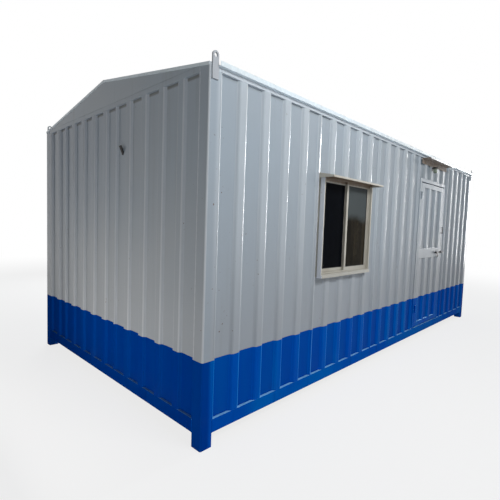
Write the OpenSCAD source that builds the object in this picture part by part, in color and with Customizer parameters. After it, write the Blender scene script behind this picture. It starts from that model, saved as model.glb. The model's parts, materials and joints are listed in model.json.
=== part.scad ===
/* [Cabin] */
// Length over the corner posts
cabin_l = 6100; // [4800:10:9000]
// Width over the corner posts
cabin_w = 3050; // [2400:10:3600]
// Height of the corner feet below the bottom rails
foot_h = 100; // [60:5:200]
// Height of the cladding from the door head to the top rails
over_door_h = 275; // [250:5:830]
// Rise of the ridge over the eaves
roof_rise = 241; // [150:1:450]

/* [Steel frame] */
// Face width of a corner post, which is also the thickness of the walls
post_w = 100; // [90:1:130]
// Wall of the posts and rails
tube_t = 4; // [3:0.5:6]
// Radius of a post's outer corner
post_r = 12; // [4:1:20]
// Plate that closes the foot of a post
foot_t = 8; // [6:1:12]
// Height of a bottom rail
bottom_rail_h = 100; // [80:1:150]
// Depth of the rails
rail_d = 50; // [40:1:65]
// Height of a top rail
top_rail_h = 40; // [30:1:60]

/* [Corrugated cladding] */
// Thickness of the sheet
sheet_t = 2; // [1:0.1:3]
// Width of a recess at its mouth
recess_mouth = 178; // [120:1:220]
// Depth of a recess
recess_depth = 22; // [10:1:32]
// Run of the slanting web at each side of a recess
web_run = 16; // [6:1:30]
// Width of a crest within a sheet
crest_w = 70; // [60:1:110]
// Width of the crest where two sheets meet
joint_crest_w = 10; // [6:1:40]
// Recesses in one sheet
sheet_recesses = 5; // [3:1:7]

/* [Floor, lining and ceiling] */
// Thickness of the lining and ceiling boards
board_t = 10; // [6:1:18]
// Open joint between lining boards
board_joint = 3; // [2:0.5:6]
// Thickness of the floor board
floor_t = 18; // [12:1:25]
// Width of a floor joist
joist_w = 50; // [40:1:80]
// Greatest spacing of the floor joists
joist_pitch = 600; // [400:10:800]

/* [Roof] */
// Reach of the eaves past the walls
eave_reach = 30; // [20:1:60]
// Height of the eave trim
eave_trim_h = 32; // [26:1:60]
// Part of the eave trim that hangs below the eave line
eave_trim_drop = 13; // [8:1:25]
// Sheet thickness of the trims and hoods
trim_t = 3; // [2:0.5:5]
// Drop of the barge trim on the gable
barge_drop = 20; // [12:1:40]
// Width of each wing of the ridge cap
ridge_wing = 150; // [100:5:220]

/* [Lifting lugs] */
// Width of a lug
lug_w = 52; // [40:1:70]
// Thickness of a lug
lug_t = 12; // [8:1:16]
// Length of a lug on its post
lug_seat = 100; // [70:1:160]
// Height of the eye over the eave line
lug_eye_up = 52; // [45:1:90]
// Diameter of the eye
lug_eye_d = 28; // [18:1:32]
// Distance of a lug from the corner
lug_edge = 14; // [13:1:20]

/* [Window] */
// Distance of the window frame from the left corner
window_left = 1304; // [700:1:1700]
// Width of the window frame
window_w = 918; // [700:1:1200]
// Height of the window frame
window_h = 938; // [700:1:1100]
// Height of the window frame over the floor
window_sill = 895; // [700:5:1000]
// How far the window frame stands proud of the wall
window_proud = 44; // [20:1:60]
// Face width of the window frame at its sides and top
window_face = 17; // [14:1:30]
// Face height of the window frame's sill
window_sill_h = 35; // [25:1:50]
// Reach of the sill's nosing past the frame's face
sill_nose = 10; // [4:1:20]
// Lap of the window frame over the cut cladding
window_lap = 6; // [4:1:10]
// Set-back of the sliding track behind the frame's face
track_setback = 24; // [20:1:50]
// Width of the track round the sashes
track_w = 12; // [8:1:20]
// Thickness of a sash
sash_t = 18; // [14:1:24]
// Gap between the sashes, and between a sash and the track's lip
sash_gap = 4; // [2:0.5:6]
// Width of the sash stiles and rails
sash_stile = 30; // [24:1:50]
// Thickness of the panes
glass_t = 5; // [4:1:8]
// Reach of the window hood past the wall
hood_reach = 150; // [100:5:250]
// Fall of the window hood over its reach
hood_fall = 28; // [10:1:50]
// Depth of the window hood's front lip
hood_lip = 14; // [8:1:25]
// Overhang of the window hood past the frame's sides
hood_over = 25; // [10:1:50]

/* [Door] */
// Distance of the door frame from the left corner
door_left = 3690; // [2900:5:3790]
// Width of the door leaf
leaf_w = 905; // [760:5:960]
// Height of the door leaf
leaf_h = 2000; // [1900:5:2060]
// Thickness of the door leaf
leaf_t = 40; // [32:1:48]
// Gap between the leaf and each jamb
leaf_gap = 7; // [6.5:0.5:10]
// Gap under the leaf
leaf_sill_gap = 12; // [6:1:20]
// Gap between the leaf and the head
leaf_head_gap = 12; // [6:1:14]
// Face width of the jambs
jamb_w = 44; // [42:1:60]
// Height of the door head
head_h = 46; // [35:1:60]
// Overlap of the stop behind the leaf
stop_w = 16; // [15:1:25]
// Gap between the leaf and its stop
stop_gap = 6; // [5.5:0.5:10]
// Width of the leaf's stiles
stile_w = 52; // [48:1:80]
// Width of the leaf's top rail
leaf_top_w = 62; // [40:1:90]
// Width of the leaf's bottom rail
leaf_bottom_w = 66; // [40:1:110]
// Height of the lock rail's lower edge over the leaf's foot
lock_rail_up = 958; // [800:1:1100]
// Width of the lock rail
lock_rail_w = 140; // [100:1:200]
// Recesses across the leaf
leaf_recesses = 3; // [2:1:3]
// Thickness of the leaf's inner skin
skin_t = 4; // [2:0.5:6]

/* [Door hinges] */
// Radius of a hinge barrel
hinge_r = 9; // [8:0.5:12]
// Radius of a hinge pin
hinge_pin_r = 5; // [4:0.5:6]
// Length of each knuckle
knuckle_h = 50; // [35:1:70]
// Width of a hinge plate
hinge_plate_w = 38; // [25:1:40]
// Thickness of a hinge plate
hinge_plate_t = 3; // [2.5:0.5:4]
// Height of the lower hinge over the leaf's foot
hinge_low_up = 208; // [120:1:350]
// Distance of the upper hinge below the leaf's top
hinge_high_down = 222; // [160:1:400]
// Running clearance of pins and bolts
run_gap = 0.06; // [0.02:0.01:0.1]
// Play between the knuckles of a hinge
knuckle_play = 0.5; // [0.3:0.1:2]

/* [Sliding bolt] */
// Radius of the bolt
bolt_r = 8; // [6:0.5:10]
// Length of the bolt
bolt_l = 240; // [200:5:300]
// Stand-off of the bolt's middle from the leaf
bolt_off = 16; // [14:0.5:22]
// Throw of the bolt
bolt_throw = 55; // [48:1:60]
// Set-back of the drawn bolt from the leaf's edge
bolt_back = 8; // [5:1:15]
// Width of a bolt guide
guide_w = 20; // [14:1:26]
// Metal round the bolt in a guide
guide_wall = 7; // [5:0.5:10]
// Length of the bolt's drop handle
bolt_handle_l = 70; // [50:1:90]
// Width of the bolt's drop handle
bolt_handle_w = 20; // [14:1:26]
// Thickness of the bolt's drop handle
bolt_handle_t = 8; // [6:0.5:12]
// Width of the keeper on the jamb
keeper_w = 30; // [20:1:34]
// Clearance round the bolt in the keeper
keeper_gap = 3; // [2:0.5:5]

/* [Door pull] */
// Height of the pull's middle over the leaf's foot
pull_up = 1360; // [1250:5:1600]
// Length of the pull
pull_l = 100; // [70:1:140]
// Stand-off of the pull's bar from the leaf
pull_off = 26; // [20:1:40]
// Radius of the pull's bar
pull_r = 5.5; // [5:0.5:8]
// Radius of the pull's legs
pull_leg_r = 4; // [3:0.5:4.5]
// Distance of the legs from the ends of the bar
pull_leg_in = 10; // [8:1:20]

/* [Door canopy, lamp and cable inlet] */
// Reach of the door canopy past the wall
canopy_reach = 115; // [80:5:145]
// Distance of the canopy below the top rail
canopy_drop = 12; // [0:1:20]
// Depth of the canopy's wall flange
canopy_flange = 70; // [40:1:80]
// Depth of the canopy's front lip
canopy_lip = 18; // [10:1:40]
// Distance of the lamp's cap below the top rail
lamp_drop = 86; // [85:1:110]
// Stand-off of the lamp from the wall
lamp_off = 38; // [36:1:60]
// Radius of the lamp's cap
lamp_cap_r = 30; // [26:1:34]
// Height of the lamp's cap
lamp_cap_h = 24; // [16:1:32]
// Radius of the lamp's globe
lamp_globe_r = 26; // [20:1:30]
// Length of the globe's straight part
lamp_globe_h = 36; // [20:1:45]
// Size of the lamp's wall plate
lamp_plate = 54; // [44:1:58]
// Distance of the cable inlet from the front corner
inlet_from_front = 1164; // [300:5:1800]
// Distance of the cable inlet below the top rail
inlet_down = 403; // [150:1:1800]
// Radius of the cable inlet's tube
inlet_r = 12; // [6:0.5:14]
// Length of the cable inlet's tube
inlet_l = 64; // [40:1:100]
// Upward tilt of the cable inlet
inlet_tilt = 66; // [0:1:70]
// Radius of the cable inlet's collar
inlet_collar_r = 20; // [16:1:26]

/* [Hidden] */
$fn = 48;
// Fitting gap round cut-outs, and overshoot of a cut
fit_gap = 1;
over = 1;
// Levels over the ground
rail_top = foot_h + bottom_rail_h;
leaf_z0 = rail_top + leaf_sill_gap;
leaf_z1 = leaf_z0 + leaf_h;
head_z0 = leaf_z1 + leaf_head_gap;
head_z1 = head_z0 + head_h;
eave_under = head_z1 + over_door_h;
eave_z = eave_under + top_rail_h;
apex_z = eave_z + roof_rise;
ceiling_z = eave_under - board_t;
// Roof slope
slope = atan(roof_rise / (cabin_w / 2));
sheet_rise = recess_depth + sheet_t;
barge_w = post_w + web_run + joint_crest_w;
// The overall box is centred on the origin, so the walls are shifted by what stands out of them
front_reach = max(hood_reach, canopy_reach, lamp_off + lamp_cap_r);
back_reach = max(eave_reach, lug_t);
left_reach = max(trim_t, inlet_l * cos(inlet_tilt) + inlet_r * sin(inlet_tilt) - recess_depth);
shift_y = (front_reach - back_reach) / 2;
shift_x = (left_reach - trim_t) / 2;
left_x = shift_x - cabin_l / 2;
right_x = shift_x + cabin_l / 2;
front_y = shift_y - cabin_w / 2;
back_y = shift_y + cabin_w / 2;
// Repeats of the cladding
rib_pitch = recess_mouth + crest_w;
sheet_pitch = sheet_recesses * rib_pitch - crest_w + joint_crest_w;
least_strip = 0.5;
// Window outline, and the part of the frame that passes through the wall
window_right = window_left + window_w;
window_z0 = rail_top + window_sill;
window_z1 = window_z0 + window_h;
throat_left = window_left + window_lap;
throat_right = window_right - window_lap;
throat_z0 = window_z0 + window_lap;
throat_z1 = window_z1 - window_lap;
pane_left = window_left + window_face;
pane_right = window_right - window_face;
pane_z0 = window_z0 + window_sill_h;
pane_z1 = window_z1 - window_face;
track_front = track_setback - window_proud;
track_back = track_front + 2 * sash_t + 3 * sash_gap;
sash_l = ((pane_right - pane_left) - 2 * track_w + sash_stile) / 2;
sash_z0 = pane_z0 + track_w;
sash_z1 = pane_z1 - track_w;
// Door outline
leaf_left = door_left + jamb_w + leaf_gap;
leaf_right = leaf_left + leaf_w;
door_right = leaf_right + leaf_gap + jamb_w;
stop_d = leaf_t + stop_gap;
lock_z0 = leaf_z0 + lock_rail_up;
lock_z1 = lock_z0 + lock_rail_w;
panel_left = leaf_left + stile_w;
panel_right = leaf_right - stile_w;
// Hinges and bolt
hinge_u = leaf_left - leaf_gap / 2;
hinge_off = hinge_r + hinge_plate_t - 1;
hinge_levels = [leaf_z0 + hinge_low_up, leaf_z1 - hinge_high_down];
bolt_z = (lock_z0 + lock_z1) / 2;
bolt_tip = leaf_right - bolt_back;
bolt_tail = bolt_tip - bolt_l;
guide_right = leaf_right - stile_w + (stile_w - guide_w) / 2;
guide_left = bolt_tail + guide_w;
bolt_handle_u = (guide_left + 2 * guide_w + guide_right - bolt_throw) / 2 - guide_w / 2;
keeper_left = leaf_right + leaf_gap + (jamb_w - keeper_w) / 2;
keeper_hole = 2 * (bolt_r + keeper_gap);
// Lamp and cable inlet
lamp_u = crest_near((leaf_left + leaf_right) / 2);
lamp_z = eave_under - lamp_drop;
inlet_u = pan_near(inlet_from_front);
inlet_z = eave_under - inlet_down;
white = [0.84, 0.87, 0.9];
blue = [0.02, 0.22, 0.62];
cream = [0.86, 0.84, 0.76];
alloy = [0.8, 0.79, 0.75];
board = [0.8, 0.76, 0.68];
iron = [0.1, 0.1, 0.11];

// Each wall has its own frame: x along the wall, y inwards from the crests, z up
module on_front() translate([left_x, front_y, 0]) children();
module on_back() translate([right_x, back_y, 0]) rotate([0, 0, 180]) children();
module on_right() translate([right_x, front_y, 0]) rotate([0, 0, 90]) children();
module on_left() translate([left_x, front_y, 0]) mirror([1, 0, 0]) rotate([0, 0, 90]) children();
module on_sides() {
    on_front() children();
    on_back() children();
}
module on_ends() {
    on_left() children();
    on_right() children();
}

// A box between two places along a wall, two depths and two levels
module slab(u0, u1, d0, d1, z0, z1) translate([u0, d0, z0]) cube([u1 - u0, d1 - d0, z1 - z0]);

// A section of depth and level, drawn along a wall
module along(u0, u1) translate([u0, 0, 0]) rotate([90, 0, 90]) linear_extrude(height = u1 - u0) children();

// An outline of place and level, drawn inwards from one depth to another
module inwards(d0, d1)
    translate([0, d0, 0]) rotate([90, 0, 0]) mirror([0, 0, 1]) linear_extrude(height = d1 - d0) children();

// Cladding: depth of the sheet at a place, the places where it bends, and its section
function recess_depth_at(b) =
    b < web_run ? recess_depth * b / web_run :
    b < recess_mouth - web_run ? recess_depth :
    b < recess_mouth ? recess_depth * (recess_mouth - b) / web_run : 0;
function sheet_depth(u) =
    let (s = (u - post_w) - sheet_pitch * floor((u - post_w) / sheet_pitch))
    recess_depth_at(s - rib_pitch * min(floor(s / rib_pitch), sheet_recesses - 1));
function recess_starts(u1) = [
    for (s = [0 : ceil((u1 - post_w) / sheet_pitch) - 1])
        for (r = [0 : sheet_recesses - 1])
            post_w + s * sheet_pitch + r * rib_pitch
];
function sheet_bends(u0, u1) = [
    for (start = recess_starts(u1))
        for (b = [0, web_run, recess_mouth - web_run, recess_mouth])
            if (start + b > u0 + least_strip && start + b < u1 - least_strip) start + b
];
function recess_near(u) = max([for (start = recess_starts(u)) if (start <= u) start]);
function crest_near(u) = recess_near(u) - crest_w / 2;
function pan_near(u) = recess_near(u) + recess_mouth / 2;
module sheet_section(u0, u1) {
    bends = concat([u0], sheet_bends(u0, u1), [u1]);
    last = len(bends) - 1;
    polygon(concat(
        [for (u = bends) [u, sheet_depth(u)]],
        [for (i = [last : -1 : 0]) [bends[i], sheet_depth(bends[i]) + sheet_t]]
    ));
}
module wall_sheet(u0, u1, z0, z1)
    translate([0, 0, z0]) linear_extrude(height = z1 - z0) sheet_section(u0, u1);

// Steel frame
module channel_section(h) difference() {
    translate([0, foot_h]) square([rail_d, h]);
    translate([tube_t, foot_h + tube_t]) square([rail_d, h - 2 * tube_t]);
}
module tube_section(d, h) difference() {
    square([d, h]);
    translate([tube_t, tube_t]) square([d - 2 * tube_t, h - 2 * tube_t]);
}
module bottom_rails_long() color(blue)
    on_sides() along(post_w, cabin_l - post_w) channel_section(bottom_rail_h);
module bottom_rails_short() color(blue)
    on_ends() along(post_w, cabin_w - post_w) channel_section(bottom_rail_h);
module top_rails_long() color(white)
    on_sides() along(post_w, cabin_l - post_w) translate([0, eave_under]) tube_section(rail_d, top_rail_h);
module top_rails_short() color(white)
    on_ends() along(post_w, cabin_w - post_w) translate([0, eave_under]) tube_section(rail_d, top_rail_h);
module post_section() difference() {
    union() {
        translate([post_r, 0]) square([post_w - post_r, post_w]);
        translate([0, post_r]) square([post_w, post_w - post_r]);
        translate([post_r, post_r]) circle(r = post_r);
    }
    translate([tube_t, tube_t]) square(post_w - 2 * tube_t);
}
module post() {
    linear_extrude(height = eave_z) post_section();
    slab(tube_t, post_w - tube_t, tube_t, post_w - tube_t, 0, foot_t);
}
module corner_posts() color(white) {
    on_sides() {
        post();
        translate([cabin_l, 0, 0]) mirror([1, 0, 0]) post();
    }
}

// Floor and ceiling boards, notched round the posts
module notched_board(margin, z0, z1) on_front() difference() {
    slab(margin, cabin_l - margin, margin, cabin_w - margin, z0, z1);
    for (u = [0, cabin_l - post_w - fit_gap], d = [0, cabin_w - post_w - fit_gap])
        slab(u, u + post_w + fit_gap, d, d + post_w + fit_gap, z0 - over, z1 + over);
}
module floor_board() color(board) notched_board(rail_d, rail_top - floor_t, rail_top);
module ceiling() color(board) notched_board(rail_d - board_t, ceiling_z, eave_under);
joist_span = cabin_l - 2 * post_w - 2 * joist_w;
joist_count = ceil(joist_span / joist_pitch);
module floor_joists() color(blue) on_front()
    for (i = [0 : joist_count])
        let (u = post_w + joist_w / 2 + i * joist_span / joist_count)
            slab(u, u + joist_w, rail_d, cabin_w - rail_d, foot_h, rail_top - floor_t);

// Cladding, cut round the window and the door
window_cut0 = throat_left - fit_gap;
window_cut1 = throat_right + fit_gap;
module front_wall_left() color(white)
    on_front() wall_sheet(post_w, window_cut0, rail_top, eave_under);
module front_wall_under_window() color(white)
    on_front() wall_sheet(window_cut0, window_cut1, rail_top, throat_z0 - fit_gap);
module front_wall_over_window() color(white)
    on_front() wall_sheet(window_cut0, window_cut1, throat_z1 + fit_gap, eave_under);
module front_wall_middle() color(white)
    on_front() wall_sheet(window_cut1, door_left, rail_top, eave_under);
module front_wall_over_door() color(white)
    on_front() wall_sheet(door_left, door_right, head_z1, eave_under);
module front_wall_right() color(white)
    on_front() wall_sheet(door_right, cabin_l - post_w, rail_top, eave_under);
module back_wall() color(white)
    on_back() wall_sheet(post_w, cabin_l - post_w, rail_top, eave_under);
module left_end_wall() color(white)
    on_left() wall_sheet(post_w, cabin_w - post_w, rail_top, eave_under);
module right_end_wall() color(white)
    on_right() wall_sheet(post_w, cabin_w - post_w, rail_top, eave_under);

// Inside lining, in boards with open joints
module lining(u0, u1, z0, z1) slab(u0, u1, post_w - board_t, post_w, z0, z1);
module front_lining() color(board) on_front() {
    lining(post_w, window_cut0 - board_joint, rail_top, ceiling_z);
    lining(window_cut0, window_cut1, rail_top, throat_z0 - fit_gap);
    lining(window_cut0, window_cut1, throat_z1 + fit_gap, ceiling_z);
    lining(window_cut1 + board_joint, door_left, rail_top, ceiling_z);
    lining(door_left + board_joint, door_right - board_joint, head_z1, ceiling_z);
    lining(door_right, cabin_l - post_w, rail_top, ceiling_z);
}
module back_lining() color(board)
    on_back() lining(post_w, cabin_l - post_w, rail_top, ceiling_z);
module end_linings() color(board)
    on_ends() lining(post_w, cabin_w - post_w, rail_top, ceiling_z);

// Roof
roof_over = (eave_reach - trim_t - fit_gap) / cos(slope) - sheet_rise * tan(slope);
roof_l = cabin_w / 2 / cos(slope) + roof_over;
module roof_sheet()
    translate([0, 0, eave_z]) rotate([slope, 0, 0]) inwards(-roof_over, roof_l - roof_over)
        translate([0, sheet_rise]) mirror([0, 1]) sheet_section(barge_w, cabin_l - barge_w);
module roof_front() color(white) on_front() roof_sheet();
module roof_back() color(white) on_back() roof_sheet();
function roof_line(rise) = [
    [0, eave_z + rise / cos(slope)],
    [cabin_w / 2, apex_z + rise / cos(slope)],
    [cabin_w, eave_z + rise / cos(slope)]
];
function reversed(list) = [for (i = [len(list) - 1 : -1 : 0]) list[i]];
module ridge_cap() color(white) on_front() intersection() {
    along(barge_w, cabin_l - barge_w)
        polygon(concat(roof_line(sheet_rise), reversed(roof_line(sheet_rise + trim_t))));
    slab(0, cabin_l, cabin_w / 2 - ridge_wing, cabin_w / 2 + ridge_wing, 0, 2 * apex_z);
}
module gable_plates() color(white)
    on_ends() inwards(0, trim_t) polygon(roof_line(0));
module barge_trims() color(white) on_ends() {
    inwards(-trim_t, 0) polygon(concat(roof_line(-barge_drop), reversed(roof_line(sheet_t))));
    inwards(0, barge_w) polygon(concat(roof_line(0), reversed(roof_line(sheet_t))));
}
eave_trim_u = lug_edge + lug_w + fit_gap;
module eave_trims() color(white) on_sides() along(eave_trim_u, cabin_l - eave_trim_u)
    translate([-eave_reach, eave_z - eave_trim_drop]) {
        square([trim_t, eave_trim_h]);
        square([eave_reach, trim_t]);
    }
module lug() inwards(-lug_t, 0) difference() {
    union() {
        translate([0, eave_z - lug_seat]) square([lug_w, lug_seat + lug_eye_up]);
        translate([lug_w / 2, eave_z + lug_eye_up]) circle(d = lug_w);
    }
    translate([lug_w / 2, eave_z + lug_eye_up]) circle(d = lug_eye_d);
}
module lifting_lugs() color(white) on_sides()
    for (u = [lug_edge, cabin_l - lug_edge - lug_w])
        translate([u, 0, 0]) lug();

// Window
module window_frame() color(cream) on_front() difference() {
    union() {
        slab(window_left, window_right, -window_proud, 0, window_z0, window_z1);
        slab(throat_left, throat_right, 0, post_w, throat_z0, throat_z1);
        slab(window_left, window_right, -window_proud - sill_nose, -window_proud, window_z0,
            pane_z0 - sill_nose / 2);
    }
    slab(pane_left, pane_right, -window_proud - over, post_w + over, pane_z0, pane_z1);
}
module window_track() color(alloy) on_front() difference() {
    slab(pane_left, pane_right, track_front, track_back, pane_z0, pane_z1);
    slab(pane_left + track_w, pane_right - track_w, track_front - over, track_back + over, sash_z0, sash_z1);
}
// The left sash slides in the inner track and the right one in the outer track
sash_places = [
    [pane_left + track_w, track_front + sash_t + 2 * sash_gap],
    [pane_right - track_w - sash_l, track_front + sash_gap]
];
module sash(u, d) difference() {
    slab(u, u + sash_l, d, d + sash_t, sash_z0, sash_z1);
    slab(u + sash_stile, u + sash_l - sash_stile, d - over, d + sash_t + over,
        sash_z0 + sash_stile, sash_z1 - sash_stile);
}
module window_sashes() color(alloy) on_front()
    for (place = sash_places) sash(place[0], place[1]);
module window_glass() color([0.1, 0.12, 0.14, 0.6]) on_front()
    for (place = sash_places)
        let (d = place[1] + (sash_t - glass_t) / 2)
            slab(place[0] + sash_stile, place[0] + sash_l - sash_stile, d, d + glass_t,
                sash_z0 + sash_stile, sash_z1 - sash_stile);
// The hood rests on the frame's front edge, and a cheek closes each end
hood_z = window_z1 + window_proud * hood_fall / hood_reach;
hood_front_z = hood_z - hood_fall;
hood_left = window_left - hood_over;
hood_right = window_right + hood_over;
module window_hood() color(cream) on_front() {
    along(hood_left, hood_right) {
        polygon([
            [0, hood_z],
            [-hood_reach, hood_front_z],
            [-hood_reach, hood_front_z + trim_t],
            [0, hood_z + trim_t]
        ]);
        translate([-hood_reach, hood_front_z - hood_lip]) square([trim_t, hood_lip + trim_t]);
    }
    for (u = [hood_left, hood_right - trim_t])
        along(u, u + trim_t) polygon([
            [0, hood_z],
            [-hood_reach, hood_front_z],
            [-hood_reach, hood_front_z - hood_lip],
            [0, hood_front_z - hood_lip]
        ]);
}

// Door frame and leaf
module jamb_section() {
    square([jamb_w, post_w]);
    translate([0, stop_d]) square([jamb_w + stop_w, post_w - stop_d]);
}
module door_jambs() color(white) on_front() translate([0, 0, rail_top]) {
    translate([door_left, 0, 0]) linear_extrude(height = head_z0 - rail_top) jamb_section();
    translate([door_right, 0, 0]) mirror([1, 0, 0])
        linear_extrude(height = head_z0 - rail_top) jamb_section();
}
module door_head() color(white) on_front() {
    slab(door_left, door_right, 0, post_w, head_z0, head_z1);
    slab(door_left + jamb_w + stop_w, door_right - jamb_w - stop_w, stop_d, post_w,
        head_z0 - stop_w, head_z0);
}
module door_leaf_frame() color(white) on_front() difference() {
    slab(leaf_left, leaf_right, 0, leaf_t - skin_t, leaf_z0, leaf_z1);
    slab(panel_left, panel_right, -over, leaf_t, leaf_z0 + leaf_bottom_w, lock_z0);
    slab(panel_left, panel_right, -over, leaf_t, lock_z1, leaf_z1 - leaf_top_w);
}
panel_margin = (panel_right - panel_left - leaf_recesses * rib_pitch + crest_w) / 2;
panel_path = concat(
    [[panel_left, 0]],
    [for (r = [0 : leaf_recesses - 1], b = [0, web_run, recess_mouth - web_run, recess_mouth])
        [panel_left + panel_margin + r * rib_pitch + b, recess_depth_at(b)]],
    [[panel_right, 0]]
);
module door_panel(z0, z1) translate([0, 0, z0]) linear_extrude(height = z1 - z0)
    polygon(concat(panel_path, [for (p = reversed(panel_path)) p + [0, sheet_t]]));
module door_panels() color(white) on_front() {
    door_panel(leaf_z0 + leaf_bottom_w, lock_z0);
    door_panel(lock_z1, leaf_z1 - leaf_top_w);
}
module door_inner_skin() color(board) on_front()
    slab(leaf_left, leaf_right, leaf_t - skin_t, leaf_t, leaf_z0, leaf_z1);

// Hinges: the jamb's half carries the pin, and the leaf's half turns on it
module hinge_jamb_halves() color(white) on_front()
    for (z = hinge_levels) {
        slab(hinge_u - hinge_plate_w, hinge_u, -hinge_plate_t, 0, z, z + knuckle_h);
        translate([hinge_u, -hinge_off, z]) {
            cylinder(r = hinge_r, h = knuckle_h);
            cylinder(r = hinge_pin_r, h = 2 * knuckle_h);
        }
    }
module hinge_door_halves() color(white) on_front()
    for (z = hinge_levels)
        translate([0, 0, z + knuckle_h + knuckle_play]) difference() {
            union() {
                slab(hinge_u, hinge_u + hinge_plate_w, -hinge_plate_t, 0, 0, knuckle_h);
                translate([hinge_u, -hinge_off, 0]) cylinder(r = hinge_r, h = knuckle_h);
            }
            translate([hinge_u, -hinge_off, -over])
                cylinder(r = hinge_pin_r + run_gap, h = knuckle_h + 2 * over);
        }

// Sliding bolt, drawn back, with its guides on the leaf and its keeper on the jamb
module rod(u0, u1, r) translate([u0, -bolt_off, bolt_z]) rotate([0, 90, 0]) cylinder(r = r, h = u1 - u0);
module bolt_guides() color(iron) on_front()
    for (u = [guide_left, guide_right])
        difference() {
            slab(u, u + guide_w, -bolt_off - bolt_r - guide_wall, 0,
                bolt_z - bolt_r - guide_wall, bolt_z + bolt_r + guide_wall);
            rod(u - over, u + guide_w + over, bolt_r + run_gap);
        }
module door_bolt() color(iron) on_front() {
    rod(bolt_tail, bolt_tip, bolt_r);
    slab(bolt_handle_u, bolt_handle_u + bolt_handle_w, -bolt_off - bolt_handle_t / 2,
        -bolt_off + bolt_handle_t / 2, bolt_z - bolt_handle_l, bolt_z);
}
module bolt_keeper() color(iron) on_front() difference() {
    slab(keeper_left, keeper_left + keeper_w, -bolt_off - keeper_hole / 2 - guide_wall, 0,
        bolt_z - keeper_hole / 2 - guide_wall, bolt_z + keeper_hole / 2 + guide_wall);
    slab(keeper_left - over, keeper_left + keeper_w + over, -bolt_off - keeper_hole / 2,
        -bolt_off + keeper_hole / 2, bolt_z - keeper_hole / 2, bolt_z + keeper_hole / 2);
}

// Pull on the leaf's latch stile
module door_pull() color(iron) on_front() translate([leaf_right - stile_w / 2, 0, leaf_z0 + pull_up]) {
    translate([0, -pull_off, -pull_l / 2]) cylinder(r = pull_r, h = pull_l);
    for (s = [-1, 1])
        translate([0, 0, s * (pull_l / 2 - pull_leg_in)]) rotate([90, 0, 0])
            cylinder(r = pull_leg_r, h = pull_off);
}

// Canopy over the door, lamp under it, and the cable inlet in the left end
canopy_z = eave_under - canopy_drop;
module door_canopy() color([0.5, 0.42, 0.34]) on_front()
    along(door_left, door_right) translate([0, canopy_z]) {
    translate([-canopy_reach, -trim_t]) square([canopy_reach, trim_t]);
    translate([-canopy_reach, -canopy_lip]) square([trim_t, canopy_lip]);
    translate([-trim_t, -canopy_flange]) square([trim_t, canopy_flange]);
}
module lamp_holder() color(iron) on_front() translate([lamp_u, 0, lamp_z]) {
    slab(-lamp_plate / 2, lamp_plate / 2, -trim_t, 0, -lamp_plate, 0);
    translate([0, 0, -lamp_cap_h / 2]) rotate([90, 0, 0]) cylinder(r = lamp_cap_h / 3, h = lamp_off);
    translate([0, -lamp_off, -lamp_cap_h]) cylinder(r = lamp_cap_r, h = lamp_cap_h);
}
module lamp_globe() color([0.75, 0.8, 0.74, 0.7]) on_front()
    translate([lamp_u, -lamp_off, lamp_z - lamp_cap_h - lamp_globe_h]) {
        cylinder(r = lamp_globe_r, h = lamp_globe_h);
        sphere(r = lamp_globe_r);
    }
module cable_inlet() color(iron) on_left() translate([inlet_u, recess_depth, inlet_z]) intersection() {
    union() {
        rotate([90, 0, 0]) cylinder(r = inlet_collar_r, h = trim_t);
        rotate([90 - inlet_tilt, 0, 0]) translate([0, 0, -inlet_r])
            cylinder(r = inlet_r, h = inlet_l + inlet_r);
    }
    slab(-inlet_l, inlet_l, -2 * inlet_l, 0, -inlet_l, 2 * inlet_l);
}

bottom_rails_long();
bottom_rails_short();
floor_joists();
floor_board();
corner_posts();
front_wall_left();
front_wall_under_window();
front_wall_over_window();
front_wall_middle();
front_wall_over_door();
front_wall_right();
back_wall();
left_end_wall();
right_end_wall();
front_lining();
back_lining();
end_linings();
ceiling();
top_rails_long();
top_rails_short();
gable_plates();
roof_front();
roof_back();
ridge_cap();
eave_trims();
barge_trims();
lifting_lugs();
window_frame();
window_track();
window_sashes();
window_glass();
window_hood();
door_jambs();
door_head();
door_leaf_frame();
door_panels();
door_inner_skin();
hinge_jamb_halves();
hinge_door_halves();
bolt_guides();
door_bolt();
bolt_keeper();
door_pull();
door_canopy();
lamp_holder();
lamp_globe();
cable_inlet();
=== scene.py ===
import json
from math import cos, radians, sin

import bmesh
import bpy
from mathutils import Matrix, Vector

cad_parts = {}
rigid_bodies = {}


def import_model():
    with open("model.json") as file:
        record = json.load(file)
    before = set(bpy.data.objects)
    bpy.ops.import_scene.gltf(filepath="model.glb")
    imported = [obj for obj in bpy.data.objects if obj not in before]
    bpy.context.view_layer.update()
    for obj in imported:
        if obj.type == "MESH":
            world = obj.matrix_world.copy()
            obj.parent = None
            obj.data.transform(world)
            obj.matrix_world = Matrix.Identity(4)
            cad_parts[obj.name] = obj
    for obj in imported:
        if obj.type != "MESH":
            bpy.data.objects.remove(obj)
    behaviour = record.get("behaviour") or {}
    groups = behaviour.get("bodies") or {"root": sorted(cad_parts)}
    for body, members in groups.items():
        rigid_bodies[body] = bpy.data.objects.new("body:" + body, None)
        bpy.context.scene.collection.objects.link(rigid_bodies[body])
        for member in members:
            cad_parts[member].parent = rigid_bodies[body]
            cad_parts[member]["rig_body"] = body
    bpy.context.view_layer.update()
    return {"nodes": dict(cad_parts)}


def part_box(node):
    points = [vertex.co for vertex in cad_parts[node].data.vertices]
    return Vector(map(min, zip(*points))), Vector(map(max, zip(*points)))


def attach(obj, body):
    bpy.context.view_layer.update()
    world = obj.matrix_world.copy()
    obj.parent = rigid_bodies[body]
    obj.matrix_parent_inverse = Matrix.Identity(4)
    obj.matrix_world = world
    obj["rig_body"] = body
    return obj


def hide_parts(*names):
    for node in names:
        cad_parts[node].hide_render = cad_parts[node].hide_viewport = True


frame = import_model()
scene = bpy.context.scene
print("frame loaded:", len(frame["nodes"]), "nodes")


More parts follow.
